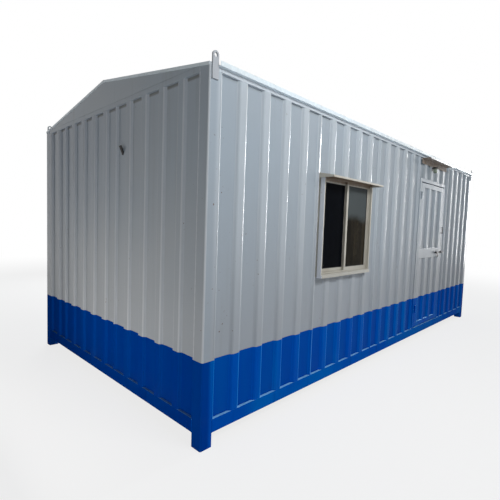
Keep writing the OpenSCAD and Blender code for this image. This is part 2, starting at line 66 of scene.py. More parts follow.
# A shader socket as a value, so that a mask is written as a sum
class Wire:
    def __init__(self, tree, socket=None):
        self.tree = tree
        self.socket = socket

    def node(self, kind, settings=None, sockets=None, out=0):
        made = self.tree.nodes.new(kind)
        for key, value in (settings or {}).items():
            setattr(made, key, value)
        for key, value in (sockets or {}).items():
            self.feed(made.inputs[key], value)
        return Wire(self.tree, made.outputs[out] if made.outputs else None)

    def feed(self, socket, value):
        if isinstance(value, Wire):
            self.tree.links.new(value.socket, socket)
        else:
            socket.default_value = value

    def math(self, operation, *values):
        return self.node("ShaderNodeMath", {"operation": operation}, dict(enumerate(values)))

    def __add__(self, other):
        return self.math("ADD", self, other)

    def __radd__(self, other):
        return self.math("ADD", other, self)

    def __sub__(self, other):
        return self.math("SUBTRACT", self, other)

    def __rsub__(self, other):
        return self.math("SUBTRACT", other, self)

    def __mul__(self, other):
        return self.math("MULTIPLY", self, other)

    def __rmul__(self, other):
        return self.math("MULTIPLY", other, self)

    def size(self):
        return self.math("ABSOLUTE", self)

    def step(self, low, high):
        return self.node("ShaderNodeMapRange", {"interpolation_type": "SMOOTHSTEP"},
                         {"Value": self, "From Min": low, "From Max": high})

    # A number that goes from one value to another as the mask goes from 0 to 1
    def ease(self, off, on):
        return off + self * (on - off)

    def blend(self, first, second):
        return self.node("ShaderNodeMix", {"data_type": "RGBA"}, {0: self, 6: first, 7: second}, 2)

    def noise(self, scale, detail, stretch=(1, 1, 1), move=(0, 0, 0)):
        place = self.node("ShaderNodeMapping", None, {"Vector": self, "Scale": stretch, "Location": move})
        return self.node("ShaderNodeTexNoise", None, {"Vector": place, "Scale": scale, "Detail": detail})

    # Noise cut to a mask between two of its levels
    def marks(self, scale, detail, low, high, stretch=(1, 1, 1), move=(0, 0, 0)):
        return self.noise(scale, detail, stretch, move).step(low, high)

    # A length that wanders by so many metres in all
    def ragged(self, place, waves, wander):
        return self + (place.noise(*waves) - 0.5) * wander

    def part(self, axis):
        return self.node("ShaderNodeSeparateXYZ", None, {"Vector": self}, axis)

    def surface(self, sockets):
        return self.node("ShaderNodeBsdfPrincipled", None, sockets)


def startMaterial(name):
    material = bpy.data.materials.new(name)
    material.use_nodes = True
    material.node_tree.nodes.clear()
    return material, Wire(material.node_tree).node("ShaderNodeTexCoord", out="Object")


def closeMaterial(material, surface):
    surface.node("ShaderNodeOutputMaterial", None, {"Surface": surface})
    return material


def facing(place, axis):
    return place.node("ShaderNodeNewGeometry", out="Normal").part(axis)


def addBump(place, height, strength=1.0):
    return place.node("ShaderNodeBump", None, {"Strength": strength, "Distance": 1.0, "Height": height})


def rgb(red, green, blue):
    return (red, green, blue, 1.0)


# In the look dictionaries, marks are noise scale, detail, from and to, then stretch and move; noise alone is
# scale and detail; a pair is where a mask starts and ends, or its value off and on

# Enamel over steel sheet: white over a blue foot, dust low on the foot, run marks and the waves of thin
# sheet; painted sky sheen on the ledges, painted shade in the recesses and on the ends, painted light on
# crests and webs
wallLook = {
    "white": rgb(0.440, 0.508, 0.572), "whiteWarm": rgb(0.465, 0.515, 0.560),
    "patches": (0.9, 2.0, 0.35, 0.65), "lowWhite": rgb(0.385, 0.405, 0.435), "lowHeight": (0.5, 2.3),
    "lowShare": 0.75, "clearHeight": (0.65, 1.75), "recess": (0.0175, 0.0212),
    "panShade": rgb(0.345, 0.412, 0.475), "panShadeShare": (0.3, 1.0), "crest": rgb(0.560, 0.620, 0.672),
    "crestShare": 1.1, "topRail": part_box("top_rails_long")[0].z, "topBandLight": rgb(0.66, 0.71, 0.76),
    "bandRange": (-0.004, 0.006), "bandShare": 0.8, "grimeAndShade": rgb(0.20, 0.195, 0.18),
    "railShadeRange": (-0.030, -0.012), "railShadeBySide": (0.80, 0.15), "runs": rgb(0.30, 0.32, 0.33),
    "runMarks": (11.0, 5.0, 0.56, 0.80, (1, 1, 0.05)), "runShare": 0.30,
    "rust": rgb(0.16, 0.07, 0.03), "specks": (46.0, 4.0, 0.70, 0.74), "speckShare": 0.8, "speckRise": 0.0002,
    "speckAreas": (1.7, 2.0, 0.50, 0.62, (1, 1, 1), (3, 1, 2)),
    "brush": (7.0, 4.0, 0.35, 0.70, (1, 1, 0.12)), "waves": (2.6, 1.0), "waveDepth": 0.0016,
    "peel": (420.0, 1.0), "peelDepth": 0.00003,
    "roughness": 0.17, "brushRough": 0.05, "runRough": 0.06, "gloss": 0.22,
}
# The plain ends: a painted bluish shade high up, painted shade on the posts' faces beside them, and painted
# light on the webs
endLook = {
    "high": rgb(0.275, 0.335, 0.430), "highHeight": (1.0, 2.4), "gableHeight": (2.50, 2.62),
    "highShare": (0.55, 0.15), "highWidth": (-1.3, 0.9), "highAcross": (0.15, 1.0), "sideFacing": (0.15, 0.5),
    "postShadeShare": 0.45, "web": rgb(0.62, 0.66, 0.71), "webDepth": (0.001, 0.004), "webShare": 0.55,
}
# Painted highlights on the rolled crest edges, made partly metallic, fainter low down and towards the right
# end
edgeLook = {
    "colour": rgb(0.90, 0.92, 0.94), "metal": 0.22, "turning": (0.06, 0.20), "depth": (0.004, 0.009),
    "glintHeight": (0.15, 1.0), "farLength": (0.4, 2.4), "farShare": (1.0, 0.4), "bySide": (0.4, 0.0),
    "glintShare": 0.8,
}
# The blue foot: painted shade in the recesses and on the ends, painted light on the end webs, painted
# highlights on crest edges, painted sky sheen on the ledges, and real dust low down
footLook = {
    "blue": rgb(0.000, 0.088, 0.500), "bluePale": rgb(0.000, 0.132, 0.540), "panShade": rgb(0.000, 0.067, 0.405),
    "panShadeShare": 1.4, "end": rgb(0.000, 0.043, 0.315), "endShadeShare": 0.85, "web": rgb(0.000, 0.075, 0.430),
    "webShare": 0.7, "edge": rgb(0.00, 0.30, 0.80), "edgeShare": 0.65, "metal": 0.12, "edgeMetal": 0.4,
    "dustAndSheen": rgb(0.30, 0.28, 0.25), "dustMarks": (5.0, 6.0, 0.42, 0.78), "dustHeight": (0.05, 0.42),
    "dustAndSheenShare": 0.03, "ledgeSheen": rgb(0.34, 0.74, 1.00), "ledgeFacing": (0.45, 0.85), "ledgeGrain": (30.0, 4.0),
    "ledgeShare": (0.75, 1.15), "ledgeBySide": (0.3, 1.0), "roughness": 0.30, "brushRough": 0.08,
    "dustRough": 0.6, "lineHeight": 0.622, "lineSoft": 0.0012, "lineWaves": (2.3, 2.0), "lineWander": 0.012,
    "lineFringe": (70.0, 3.0), "fringeWander": 0.004,
}
wallFaces = {
    "front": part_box("front_wall_left")[0].y, "back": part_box("back_wall")[1].y,
    "left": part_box("left_end_wall")[0].x, "right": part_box("right_end_wall")[1].x,
    "endReach": (0.05, 0.09),
}


# Depth behind the nearest outer face, and a mask of the long sides
def depthInWall(place):
    x, y = place.part(0), place.part(1)
    across = place.math("MINIMUM", y - wallFaces["front"], wallFaces["back"] - y)
    along = place.math("MINIMUM", x - wallFaces["left"], wallFaces["right"] - x)
    return place.math("MINIMUM", across, along), along.step(*wallFaces["endReach"])


# Rolled outer edges of the crests, painted as highlights where the lamps glint on them; on the long sides
# only those to the right
def crestEdges(place, depth, longSide):
    across = facing(place, 0)
    sideways = place.math("MAXIMUM", across, across.size() * (1 - longSide))
    turning = place.math("MINIMUM", sideways, facing(place, 1).size()).step(*edgeLook["turning"])
    return turning * (1 - depth.step(*edgeLook["depth"]))


def makeWallEnamel(name, reliefShade):
    look, end, foot = wallLook, endLook, footLook
    material, place = startMaterial(name)
    height = place.part(2)
    aboveRail = height - look["topRail"]
    depth, longSide = depthInWall(place)
    clear = height.step(*look["clearHeight"])
    recess = depth.step(*look["recess"])
    panShade = recess * longSide
    sideFace = facing(place, 1).size().step(*end["sideFacing"]) * (1 - longSide)
    web = sideFace * depth.step(*end["webDepth"])
    edge = crestEdges(place, depth, longSide)
    far = place.part(0).step(*edgeLook["farLength"])
    wearAndGlint = edge * longSide * clear.ease(*edgeLook["glintHeight"]) * far.ease(*edgeLook["farShare"])
    brush = place.marks(*look["brush"])
    runs = place.marks(*look["runMarks"])
    speck = place.marks(*look["specks"]) * place.marks(*look["speckAreas"])
    waves = place.noise(*look["waves"]) * look["waveDepth"] + place.noise(*look["peel"]) * look["peelDepth"]
    bump = addBump(place, waves + speck * look["speckRise"])

    white = place.marks(*look["patches"]).blend(look["white"], look["whiteWarm"])
    # darker and greyer towards the bottom
    white = ((1 - height.step(*look["lowHeight"])) * look["lowShare"]).blend(white, look["lowWhite"])
    # painted shade, bluish, high on the plain ends, strongest towards the back and weaker on the gable
    shade = height.step(*end["highHeight"]) * height.step(*end["gableHeight"]).ease(*end["highShare"])
    shade = shade * place.part(1).step(*end["highWidth"]).ease(*end["highAcross"]) * (1 - longSide)
    white = shade.blend(white, end["high"])
    # painted shade in the recesses and painted light on the crests of the long sides, less of both low down
    white = (panShade * clear.ease(*look["panShadeShare"]) * reliefShade).blend(white, look["panShade"])
    white = ((1 - recess) * longSide * clear * (reliefShade * look["crestShare"])).blend(white, look["crest"])
    # painted light on the band of top rail just under the eave trim, which shades it
    band = aboveRail.step(*look["bandRange"]) * longSide
    white = (band * look["bandShare"]).blend(white, look["topBandLight"])
    white = (runs * look["runShare"]).blend(white, look["runs"])
    # painted shade: the recess colour laid on the posts' front and back faces beside the ends
    white = ((sideFace - web) * end["postShadeShare"]).blend(white, look["panShade"])
    # painted highlights on the rolled crest edges
    bright = edge * longSide.ease(*edgeLook["bySide"]) + wearAndGlint * edgeLook["glintShare"]
    white = bright.blend(white, edgeLook["colour"])
    # painted light on the webs of the plain ends' corrugation
    white = (web * end["webShare"]).blend(white, end["web"])
    # painted shade at the top of each recess, under the top rail, stronger on the ends
    grimeAndShade = recess * aboveRail.step(*look["railShadeRange"]) * longSide.ease(*look["railShadeBySide"])
    white = grimeAndShade.blend(white, look["grimeAndShade"])
    white = (speck * look["speckShare"]).blend(white, look["rust"])
    upper = place.surface({
        "Base Color": white, "Normal": bump, "Metallic": wearAndGlint * edgeLook["metal"],
        "Roughness": look["roughness"] + brush * look["brushRough"] + runs * look["runRough"],
        "Specular IOR Level": look["gloss"]})

    blue = brush.blend(foot["blue"], foot["bluePale"])
    # painted shade in the recesses of the blue foot
    blue = (panShade * (reliefShade * foot["panShadeShare"])).blend(blue, foot["panShade"])
    # painted shade: a darker blue on the plain ends
    blue = ((1 - longSide) * foot["endShadeShare"]).blend(blue, foot["end"])
    # painted light on the webs of the blue on the plain ends
    blue = (web * foot["webShare"]).blend(blue, foot["web"])
    dustAndSheen = (1 - height.step(*foot["dustHeight"])) * place.marks(*foot["dustMarks"]) * foot["dustAndSheenShare"]
    blue = dustAndSheen.blend(blue, foot["dustAndSheen"])
    # painted highlights on the crest edges of the blue on the long sides
    blue = (edge * longSide * foot["edgeShare"]).blend(blue, foot["edge"])
    # painted sky sheen on the ledges that face up, stronger on the long sides
    ledgeSheen = facing(place, 2).step(*foot["ledgeFacing"]) * longSide.ease(*foot["ledgeBySide"])
    ledgeSheen = ledgeSheen * place.noise(*foot["ledgeGrain"]).ease(*foot["ledgeShare"])
    blue = ledgeSheen.blend(blue, foot["ledgeSheen"])
    lower = place.surface({
        "Base Color": blue, "Normal": bump, "Metallic": longSide * (foot["metal"] + edge * foot["edgeMetal"]),
        "Roughness": foot["roughness"] + brush * foot["brushRough"] + dustAndSheen * foot["dustRough"],
        "Specular IOR Level": 0.0})

    line = height.ragged(place, foot["lineWaves"], foot["lineWander"])
    line = line.ragged(place, foot["lineFringe"], foot["fringeWander"]) - foot["lineHeight"]
    above = line.step(-foot["lineSoft"], foot["lineSoft"])
    return closeMaterial(material, place.node("ShaderNodeMixShader", None, {0: above, 1: lower, 2: upper}))


# Plain enamel: brush marks, runs, dust on top (on the blue a bright painted sky sheen), and faces that look
# down darker, rust-brown with painted shade
creamLook = {
    "colour": rgb(0.50, 0.49, 0.44), "colourWarm": rgb(0.53, 0.50, 0.43), "patches": (1.7, 2.0, 0.35, 0.65),
    "brush": (9.0, 4.0, 0.35, 0.70), "brushDepth": 0.00008, "wave": 0.0005, "waves": (3.4, 1.0),
    "runs": rgb(0.27, 0.22, 0.16), "runAmount": 0.45, "runMarks": (13.0, 5.0, 0.55, 0.80, (1, 1, 0.06)),
    "dustAndSheen": rgb(0.44, 0.42, 0.37), "dustAndSheenAmount": 0.6, "dustAndSheenFacing": (0.6, 0.95), "dustAndSheenGrain": (24.0, 5.0),
    "dustAndSheenShare": (0.35, 0.95), "under": rgb(0.20, 0.135, 0.085), "underDark": rgb(0.12, 0.075, 0.045),
    "underAmount": 0.9, "underFacing": (-0.9, -0.5), "underMarks": (18.0, 5.0, 0.35, 0.7),
    "rust": rgb(0.15, 0.07, 0.03), "specks": (60.0, 4.0, 0.69, 0.74), "speckShare": 0.7, "speckRise": 0.0002,
    "speckAreas": (2.1, 2.0, 0.48, 0.62, (1, 1, 1), (3, 1, 2)),
    "roughness": 0.34, "brushRough": 0.08, "dustRough": 0.4, "underRough": 0.3, "gloss": 0.4, "metal": 0.0,
}
# The blue: its dust on faces that look up is a bright painted sky sheen, and its darker colour under faces
# that look down is painted shade
blueLook = dict(
    creamLook, colour=footLook["blue"], colourWarm=footLook["bluePale"], runs=rgb(0.0, 0.03, 0.22),
    runAmount=0.5, dustAndSheen=footLook["ledgeSheen"], dustAndSheenAmount=1.3, under=rgb(0.0, 0.03, 0.2),
    underDark=rgb(0.03, 0.03, 0.05), roughness=0.32, gloss=0.0, metal=0.04, wave=0.0010)
# The end rails: painted shade, a darker blue than the front, with less painted sheen on their ledges
blueEndLook = dict(
    blueLook, colour=rgb(0.0, 0.044, 0.31), colourWarm=rgb(0.0, 0.054, 0.33), dustAndSheenAmount=0.4, metal=0.0)
roofLook = dict(
    creamLook, colour=rgb(0.50, 0.55, 0.60), colourWarm=rgb(0.52, 0.555, 0.59), runs=rgb(0.33, 0.35, 0.36),
    dustAndSheen=rgb(0.40, 0.39, 0.36), dustAndSheenAmount=0.35, underAmount=0.0, roughness=0.32, wave=0.0010)
# The trims: white paint lifted to a bluish white, a painted sky reflection
trimLook = dict(
    creamLook, colour=rgb(0.82, 0.93, 1.0), colourWarm=rgb(0.84, 0.94, 0.99), runs=rgb(0.52, 0.58, 0.62),
    runAmount=0.2, dustAndSheen=rgb(0.60, 0.68, 0.74), dustAndSheenAmount=0.3, underAmount=0.0, roughness=0.24, gloss=0.5)
lugLook = dict(
    creamLook, colour=rgb(0.47, 0.52, 0.57), colourWarm=rgb(0.49, 0.52, 0.56), runs=rgb(0.22, 0.14, 0.09),
    runAmount=0.7, underAmount=0.3)
# The window frame: painted shade in brown under its head, and painted light on its left side
windowLook = dict(
    creamLook, headShadeFrom=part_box("window_frame")[1].z - 0.045, headShadeSoft=0.03, headShadeWaves=(20.0, 4.0),
    headShadeWander=0.03, headShadeShare=0.85, side=rgb(0.72, 0.75, 0.80), sideSoft=0.002,
    sideEnd=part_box("window_frame")[0].x + 0.003)


def makeEnamel(name, look):
    material, place = startMaterial(name)
    brush = place.marks(*look["brush"])
    runs = place.marks(*look["runMarks"]) * look["runAmount"]
    speck = place.marks(*look["specks"]) * place.marks(*look["speckAreas"])
    up = facing(place, 2)
    # dust on faces that look up; on the blue this is a bright painted sky sheen
    dustAndSheen = up.step(*look["dustAndSheenFacing"]) * place.noise(*look["dustAndSheenGrain"]).ease(*look["dustAndSheenShare"])
    dustAndSheen = dustAndSheen * look["dustAndSheenAmount"]
    # faces that look down darker: rust-brown with painted shade on the cream, painted shade alone on the blue
    under = (1 - up.step(*look["underFacing"])) * look["underAmount"]
    colour = place.marks(*look["patches"]).blend(look["colour"], look["colourWarm"])
    colour = runs.blend(colour, look["runs"])
    colour = under.blend(colour, place.marks(*look["underMarks"]).blend(look["under"], look["underDark"]))
    if "headShadeFrom" in look:  # painted shade in brown under the window's head, and painted light on the left side
        headShade = place.part(2).ragged(place, look["headShadeWaves"], look["headShadeWander"]) - look["headShadeFrom"]
        colour = (headShade.step(0.0, look["headShadeSoft"]) * look["headShadeShare"]).blend(colour, look["under"])
        # painted light: the frame's left side face made whiter
        inward = (place.part(0) - look["sideEnd"]).step(0.0, look["sideSoft"])
        colour = (1 - inward).blend(colour, look["side"])
    colour = dustAndSheen.blend(colour, look["dustAndSheen"])
    colour = (speck * look["speckShare"]).blend(colour, look["rust"])
    waves = place.noise(*look["waves"]) * look["wave"] + brush * look["brushDepth"]
    waves = waves + speck * look["speckRise"]
    rough = look["roughness"] + brush * look["brushRough"]
    rough = rough + dustAndSheen * look["dustRough"] + under * look["underRough"]
    return closeMaterial(material, place.surface({
        "Base Color": colour, "Normal": addBump(place, waves), "Roughness": rough, "Metallic": look["metal"],
        "Specular IOR Level": look["gloss"]}))


# Primed canopy steel: white lip, grey-brown rusty underside
canopyLook = {
    "paint": rgb(0.58, 0.62, 0.65), "primer": rgb(0.370, 0.325, 0.290), "rust": rgb(0.310, 0.240, 0.185),
    "deep": rgb(0.175, 0.140, 0.115), "deepShare": 0.6, "blotches": (9.0, 6.0, 0.35, 0.65),
    "blotchRise": 0.0008, "scale": (55.0, 5.0, 0.40, 0.68), "scaleRise": 0.0006,
    "lipFace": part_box("door_canopy")[0].y, "lipDepth": (0.004, 0.010), "topFacing": (0.3, 0.7),
    "paintGrain": (14.0, 4.0), "paintShare": (0.8, 1.1), "roughness": (0.32, 0.72), "gloss": 0.4,
}


def makeCanopySteel():
    look = canopyLook
    material, place = startMaterial("canopySteel")
    blotch = place.marks(*look["blotches"])
    scale = place.marks(*look["scale"])
    rusty = blotch.blend(look["primer"], look["rust"])
    rusty = (scale * look["deepShare"]).blend(rusty, look["deep"])
    lip = 1 - (place.part(1) - look["lipFace"]).step(*look["lipDepth"])
    painted = place.math("MAXIMUM", lip, facing(place, 2).step(*look["topFacing"]))
    under = 1 - painted * place.noise(*look["paintGrain"]).ease(*look["paintShare"])
    return closeMaterial(material, place.surface({
        "Base Color": under.blend(look["paint"], rusty), "Roughness": under.ease(*look["roughness"]),
        "Normal": addBump(place, scale * look["scaleRise"] + blotch * look["blotchRise"]),
        "Specular IOR Level": look["gloss"]}))


# Drawn alloy of the sashes, with painted shade in brown under the head
alloyLook = {
    "colour": rgb(0.52, 0.50, 0.44), "dull": rgb(0.40, 0.37, 0.31), "dullMarks": (6.0, 5.0, 0.45, 0.75),
    "dullShare": 0.6, "grain": (240.0, 2.0, (1, 1, 0.02)), "grainDepth": 0.00006, "grainBump": 0.5,
    "headShade": rgb(0.19, 0.13, 0.085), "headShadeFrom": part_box("window_sashes")[1].z - 0.030, "headShadeSoft": 0.02,
    "headShadeWaves": (24.0, 4.0), "headShadeWander": 0.03, "headShadeShare": 0.85,
    "metal": 0.25, "roughness": 0.34, "grainRough": 0.12, "dullRough": 0.15,
}


def makeAlloy():
    look = alloyLook
    material, place = startMaterial("windowAlloy")
    grain = place.noise(*look["grain"])
    dull = place.marks(*look["dullMarks"])
    headShade = place.part(2).ragged(place, look["headShadeWaves"], look["headShadeWander"]) - look["headShadeFrom"]
    colour = (dull * look["dullShare"]).blend(look["colour"], look["dull"])
    colour = (headShade.step(0.0, look["headShadeSoft"]) * look["headShadeShare"]).blend(colour, look["headShade"])
    return closeMaterial(material, place.surface({
        "Base Color": colour, "Metallic": look["metal"],
        "Roughness": look["roughness"] + grain * look["grainRough"] + dull * look["dullRough"],
        "Normal": addBump(place, grain * look["grainDepth"], look["grainBump"])}))


# Tinted panes: the inner one reads near black, the outer one has a painted reflection in two tones,
# grey-green above and dark brown below
paneLook = {
    "dustAndSheen": rgb(0.12, 0.11, 0.09), "dustMarks": (16.0, 6.0, 0.45, 0.85), "dustAndSheenShare": 0.25,
    "sillHeight": (1.13, 1.22), "sillShare": 0.35, "waves": (3.0, 1.0), "waveDepth": 0.0008, "waveBump": 0.4,
    "roughness": 0.04, "dustRough": 0.2, "alpha": 0.95,
}
innerLook = {"colour": rgb(0.0035, 0.0045, 0.007), "dustTint": 0.06, "bend": 1.045}
outerLook = {
    "reflectionHigh": rgb(0.092, 0.108, 0.112), "reflectionLow": rgb(0.008, 0.0065, 0.004), "reflectionLine": 1.66,
    "reflectionSoft": 0.05, "reflectionWaves": (6.0, 4.0), "reflectionWander": 0.16, "reflectionStreak": rgb(0.034, 0.027, 0.016),
    "reflectionStreakMarks": (9.0, 3.0, 0.45, 0.70, (1, 1, 0.12)), "dustTint": 0.35, "bend": 1.08,
}


# A painted reflection on the outer pane: grey-green above a wavy line, dark brown with streaks below
def paintedReflection(place, look):
    line = place.part(2).ragged(place, look["reflectionWaves"], look["reflectionWander"]) - look["reflectionLine"]
    low = place.marks(*look["reflectionStreakMarks"]).blend(look["reflectionLow"], look["reflectionStreak"])
    return line.step(-look["reflectionSoft"], look["reflectionSoft"]).blend(low, look["reflectionHigh"])


def makePane(name, tint):
    look = paneLook
    material, place = startMaterial(name)
    sill = 1 - place.part(2).step(*look["sillHeight"])
    dustAndSheen = place.marks(*look["dustMarks"]) * look["dustAndSheenShare"] + sill * look["sillShare"]
    colour = tint["colour"] if "colour" in tint else paintedReflection(place, tint)
    return closeMaterial(material, place.surface({
        "Base Color": (dustAndSheen * tint["dustTint"]).blend(colour, look["dustAndSheen"]), "IOR": tint["bend"],
        "Roughness": look["roughness"] + dustAndSheen * look["dustRough"], "Alpha": look["alpha"],
        "Normal": addBump(place, place.noise(*look["waves"]) * look["waveDepth"], look["waveBump"])}))


lampLook = {
    "glass": rgb(0.32, 0.38, 0.30), "grimeAndShade": rgb(0.10, 0.11, 0.08), "grimeMarks": (60.0, 4.0, 0.4, 0.75),
    "ribScale": 30.0, "roughness": (0.18, 0.48), "alpha": (0.8, 0.9),
}


def makeLampGlass():
    look = lampLook
    material, place = startMaterial("lampGlass")
    ribs = place.node("ShaderNodeTexWave", {"wave_type": "RINGS", "rings_direction": "Z"},
                      {"Vector": place, "Scale": look["ribScale"]}, "Fac")
    grimeAndShade = place.marks(*look["grimeMarks"])
    return closeMaterial(material, place.surface({
        "Base Color": grimeAndShade.blend(look["glass"], look["grimeAndShade"]), "Roughness": grimeAndShade.ease(*look["roughness"]),
        "Alpha": ribs.ease(*look["alpha"])}))


# Lining boards, and darker wood for the strips over their joints
boardLook = {
    "face": rgb(0.56, 0.49, 0.38), "grain": rgb(0.42, 0.34, 0.24),
    "grainMarks": (26.0, 6.0, 0.35, 0.72, (1, 1, 0.06)), "grainShare": 0.7, "grainDepth": 0.0002,
    "grainBump": 0.5, "clouds": (1.3, 2.0, 0.3, 0.7), "cloudShare": 0.25, "roughness": (0.42, 0.57),
}
stripLook = dict(boardLook, face=rgb(0.34, 0.25, 0.16), grain=rgb(0.22, 0.15, 0.09))


def makeBoard(name, look):
    material, place = startMaterial(name)
    grain = place.marks(*look["grainMarks"])
    colour = (grain * look["grainShare"]).blend(look["face"], look["grain"])
    colour = (place.marks(*look["clouds"]) * look["cloudShare"]).blend(colour, look["grain"])
    return closeMaterial(material, place.surface({
        "Base Color": colour, "Roughness": grain.ease(*look["roughness"]),
        "Normal": addBump(place, grain * look["grainDepth"], look["grainBump"])}))


plankLook = {
    "dark": rgb(0.17, 0.115, 0.07), "pale": rgb(0.33, 0.24, 0.155), "seam": rgb(0.03, 0.02, 0.015),
    "long": 1.2, "wide": 0.15, "seamWide": 0.0016, "seamSoft": 0.2, "seamDepth": 0.0012,
    "grain": (30.0, 6.0, 0.35, 0.7, (0.06, 1, 1)), "grainShare": 0.5, "grainDepth": 0.0002, "bump": 0.6,
    "dirt": rgb(0.25, 0.22, 0.18), "dirtMarks": (2.2, 5.0, 0.45, 0.8), "dirtShare": 0.45,
    "roughness": 0.34, "dirtRough": 0.6, "grainRough": 0.1,
}


def makePlanks():
    look = plankLook
    material, place = startMaterial("floorPlanks")
    laid = {"Vector": place, "Scale": 1.0, "Mortar Size": look["seamWide"], "Mortar Smooth": look["seamSoft"],
            "Brick Width": look["long"], "Row Height": look["wide"]}
    tones = {"Color1": look["dark"], "Color2": look["pale"], "Mortar": look["seam"]}
    planks = place.node("ShaderNodeTexBrick", None, {**laid, **tones})
    seam = place.node("ShaderNodeTexBrick", None, laid, "Fac")
    grain = place.marks(*look["grain"])
    dirt = place.marks(*look["dirtMarks"]) * look["dirtShare"]
    colour = (grain * look["grainShare"]).blend(planks, look["dark"])
    return closeMaterial(material, place.surface({
        "Base Color": dirt.blend(colour, look["dirt"]),
        "Roughness": look["roughness"] + dirt * look["dirtRough"] + grain * look["grainRough"],
        "Normal": addBump(place, grain * look["grainDepth"] - seam * look["seamDepth"], look["bump"])}))


ironLook = {
    "dark": rgb(0.030, 0.030, 0.032), "wearAndGlint": rgb(0.10, 0.10, 0.10), "wornMarks": (38.0, 5.0, 0.48, 0.70),
    "rust": rgb(0.13, 0.055, 0.02), "rustMarks": (17.0, 5.0, 0.56, 0.72, (1, 1, 1), (2, 5, 1)),
    "rustShare": 0.7, "rustRise": 0.0004, "bump": 0.6, "metal": (0.7, 0.1), "roughness": (0.38, 0.78),
}


def makeIron():
    look = ironLook
    material, place = startMaterial("boltIron")
    rust = place.marks(*look["rustMarks"])
    colour = place.marks(*look["wornMarks"]).blend(look["dark"], look["wearAndGlint"])
    return closeMaterial(material, place.surface({
        "Base Color": (rust * look["rustShare"]).blend(colour, look["rust"]),
        "Metallic": rust.ease(*look["metal"]), "Roughness": rust.ease(*look["roughness"]),
        "Normal": addBump(place, rust * look["rustRise"], look["bump"])}))


# Black plastic of the lamp holder and inlet, and the rubber of the gaskets
plasticLook = {
    "colour": rgb(0.018, 0.018, 0.0198), "roughness": 0.48, "dustAndSheen": rgb(0.11, 0.10, 0.085),
    "dustMarks": (30.0, 5.0, 0.45, 0.8), "dustAndSheenShare": 0.5, "dustRough": 0.3, "grain": (900.0, 2.0),
    "grainDepth": 0.00005, "bump": 0.4,
}
rubberLook = dict(plasticLook, colour=rgb(0.012, 0.012, 0.0132), roughness=0.62)


def makeBlackPlastic(name, look):
    material, place = startMaterial(name)
    dustAndSheen = place.marks(*look["dustMarks"]) * look["dustAndSheenShare"]
    return closeMaterial(material, place.surface({
        "Base Color": dustAndSheen.blend(look["colour"], look["dustAndSheen"]),
        "Roughness": look["roughness"] + dustAndSheen * look["dustRough"],
        "Normal": addBump(place, place.noise(*look["grain"]) * look["grainDepth"], look["bump"])}))


zincLook = {
    "dark": rgb(0.42, 0.44, 0.46), "pale": rgb(0.60, 0.62, 0.64), "spangle": (320.0, 3.0, 0.3, 0.7),
    "rust": rgb(0.17, 0.08, 0.03), "rustMarks": (60.0, 4.0, 0.60, 0.75), "rustShare": 0.7,
    "metal": (0.8, 0.1), "roughness": (0.36, 0.76),
}


def makeZinc():
    look = zincLook
    material, place = startMaterial("zincScrew")
    rust = place.marks(*look["rustMarks"])
    colour = place.marks(*look["spangle"]).blend(look["dark"], look["pale"])
    return closeMaterial(material, place.surface({
        "Base Color": (rust * look["rustShare"]).blend(colour, look["rust"]),
        "Metallic": rust.ease(*look["metal"]), "Roughness": rust.ease(*look["roughness"])}))


# How strongly the painted shade in the recesses and the painted light on the crests show: the door's less
# than the walls'
reliefShadeShare = {"wall": 0.5, "door": 0.12}
finishes = {
    "wall_paint": makeWallEnamel("wallEnamel", reliefShadeShare["wall"]),
    "door_paint": makeWallEnamel("doorEnamel", reliefShadeShare["door"]),
    "blue_paint": makeEnamel("blueEnamel", blueLook),
    "blue_end": makeEnamel("blueEndEnamel", blueEndLook),
    "roof_paint": makeEnamel("roofEnamel", roofLook),
    "trim_paint": makeEnamel("trimEnamel", trimLook),
    "lug_paint": makeEnamel("lugEnamel", lugLook),
    "cream_paint": makeEnamel("creamEnamel", creamLook),
    "window_paint": makeEnamel("windowEnamel", windowLook),
    "canopy_steel": makeCanopySteel(),
    "window_alloy": makeAlloy(),
    "inner_pane": makePane("innerPane", innerLook),
    "outer_pane": makePane("outerPane", outerLook),
    "lamp_glass": makeLampGlass(),
    "lining_board": makeBoard("liningBoard", boardLook),
    "strip_wood": makeBoard("stripWood", stripLook),
    "floor_board": makePlanks(),
    "bolt_iron": makeIron(),
    "black_plastic": makeBlackPlastic("blackPlastic", plasticLook),
    "gasket": makeBlackPlastic("rubberGasket", rubberLook),
    "zinc": makeZinc(),
}
print("finishes made:", len(finishes))


# Shade is the angle in degrees past which an edge stays sharp; without it the faces stay flat
def addPiece(bm, name, finish, body, replaced=(), shade=None):
    mesh = bpy.data.meshes.new(name)
    bm.to_mesh(mesh)
    bm.free()
    piece = bpy.data.objects.new(name, mesh)
    scene.collection.objects.link(piece)
    mesh.materials.append(finishes[finish])
    if shade:
        for face in mesh.polygons:
            face.use_smooth = True
        mesh.set_sharp_from_angle(angle=radians(shade))
        even = piece.modifiers.new("evenNormals", "WEIGHTED_NORMAL")
        even.keep_sharp = True
        even.weight = 100
    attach(piece, body)
    if replaced:
        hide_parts(*replaced)


def bodyOf(node):
    return frame["nodes"][node]["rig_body"]


# A merged copy of a node's mesh; distance in metres, angle in degrees
copyCare = {"merge": 0.00002, "flat": 0.5}


def copyNode(node, joinFlat=True):
    bm = bmesh.new()
    bm.from_mesh(frame["nodes"][node].data)
    bmesh.ops.remove_doubles(bm, verts=bm.verts, dist=copyCare["merge"])
    if joinFlat:
        bmesh.ops.dissolve_limit(bm, angle_limit=radians(copyCare["flat"]), verts=bm.verts, edges=bm.edges)
    return bm


# Bend radius of each kind of folded piece, in metres
bendRadius = {
    "sheet": 0.0105, "post": 0.002, "rail": 0.005, "trim": 0.003, "leaf": 0.004, "frame": 0.0016,
    "hood": 0.0008, "small": 0.001, "fitting": 0.0006,
}
